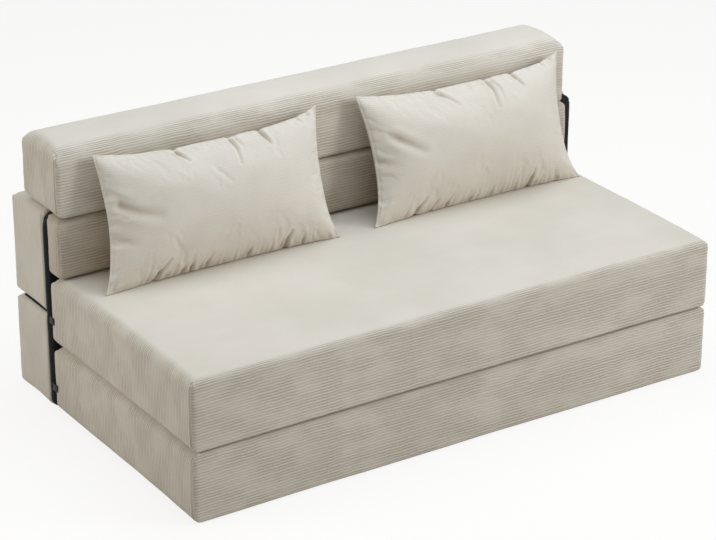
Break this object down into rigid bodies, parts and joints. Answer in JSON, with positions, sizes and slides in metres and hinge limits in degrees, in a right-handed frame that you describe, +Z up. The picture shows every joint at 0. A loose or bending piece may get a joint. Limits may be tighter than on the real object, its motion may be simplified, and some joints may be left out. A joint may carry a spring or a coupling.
{
  "type": "folding sofa bed",
  "caption": "Low corduroy foam sofa that unfolds into a floor bed, with a hinged seat section, a back that lies down, a loose bolster and loose pillows.",
  "frame": {"origin": "centre of the sofa's outline on the floor", "axes": "+X along the length, from the left end to the right end as seen from the front; +Y from the seat's front to the back; +Z up"},
  "size_m": [1.6082, 0.907, 0.7255],
  "materials": {
    "corduroy": "fine ribbed corduroy, warm off-white",
    "foam": "open-cell polyurethane foam",
    "pillow_filling": "polyester fibre filling in a thin white case",
    "black_nonslip_cloth": "matt black non-slip cloth with small dots",
    "black_webbing": "flat woven webbing",
    "hinge_cloth": "plain woven cloth",
    "zip_chain": "nylon coil on woven tape",
    "zip_metal": "satin enamel"
  },
  "bodies": {
    "lower_seat": {"lower_seat_cover": "corduroy", "lower_seat_foam": "foam", "lower_seat_base_cloth": "black_nonslip_cloth", "lower_seat_hinge_leaf": "hinge_cloth", "lower_seat_tabs": "black_webbing", "lower_seat_zip": "zip_chain"},
    "upper_seat": {"upper_seat_cover": "corduroy", "upper_seat_foam": "foam", "upper_seat_hinge_leaf": "hinge_cloth", "upper_seat_tabs": "black_webbing", "upper_seat_zip": "zip_chain"},
    "back": {"lower_back_cover": "corduroy", "lower_back_foam": "foam", "lower_back_zip": "zip_chain", "lower_back_backing": "black_nonslip_cloth", "upper_back_cover": "corduroy", "upper_back_foam": "foam", "upper_back_zip": "zip_chain", "upper_back_backing": "black_nonslip_cloth", "back_seam_cloth": "black_nonslip_cloth", "front_pad_cover": "corduroy", "front_pad_foam": "foam"},
    "bolster": {"bolster_cover": "corduroy", "bolster_foam": "foam", "bolster_zip": "zip_chain"},
    "left_pillow": {"left_pillow_case": "corduroy", "left_pillow_insert": "pillow_filling"},
    "right_pillow": {"right_pillow_case": "corduroy", "right_pillow_insert": "pillow_filling"},
    "lower_seat_zip_slider": {"lower_seat_zip_slider": "zip_metal"},
    "upper_seat_zip_slider": {"upper_seat_zip_slider": "zip_metal"},
    "lower_back_zip_slider": {"lower_back_zip_slider": "zip_metal"},
    "upper_back_zip_slider": {"upper_back_zip_slider": "zip_metal"},
    "bolster_zip_slider": {"bolster_zip_slider": "zip_metal"}
  },
  "joints": [
    {"name": "seat_unfold", "type": "hinge", "parent": "lower_seat", "child": "upper_seat", "pos_m": [0, -0.454, 0.186], "axis": [1, 0, 0], "range_deg": [0, 180], "deforming": ["front_pad_cover", "front_pad_foam"]},
    {"name": "back_recline", "type": "hinge", "parent": "lower_seat", "child": "back", "pos_m": [0, 0.4535, 0], "axis": [-1, 0, 0], "range_deg": [0, 90]},
    {"name": "bolster_lift", "type": "slide", "parent": "back", "child": "bolster", "axis": [0, 0, 1], "range_m": [0, 0.25]},
    {"name": "left_pillow_carry", "type": "hinge", "parent": "upper_seat", "child": "left_pillow", "pos_m": [0, 0.1585, 0.27925], "axis": [1, 0, 0], "range_deg": [-180, 0]},
    {"name": "right_pillow_carry", "type": "hinge", "parent": "upper_seat", "child": "right_pillow", "pos_m": [0, 0.1585, 0.27925], "axis": [1, 0, 0], "range_deg": [-180, 0]},
    {"name": "lower_seat_zip_slide", "type": "slide", "parent": "lower_seat", "child": "lower_seat_zip_slider", "axis": [1, 0, 0], "range_m": [0, 1.29]},
    {"name": "upper_seat_zip_slide", "type": "slide", "parent": "upper_seat", "child": "upper_seat_zip_slider", "axis": [1, 0, 0], "range_m": [0, 1.29]},
    {"name": "lower_back_zip_slide", "type": "slide", "parent": "back", "child": "lower_back_zip_slider", "axis": [1, 0, 0], "range_m": [0, 1.372]},
    {"name": "upper_back_zip_slide", "type": "slide", "parent": "back", "child": "upper_back_zip_slider", "axis": [1, 0, 0], "range_m": [0, 1.372]},
    {"name": "bolster_zip_slide", "type": "slide", "parent": "bolster", "child": "bolster_zip_slider", "axis": [1, 0, 0], "range_m": [0, 1.301]}
  ],
  "couplings": [
    {"joint": "left_pillow_carry", "follows": "seat_unfold", "ratio": -1},
    {"joint": "right_pillow_carry", "follows": "seat_unfold", "ratio": -1}
  ]
}
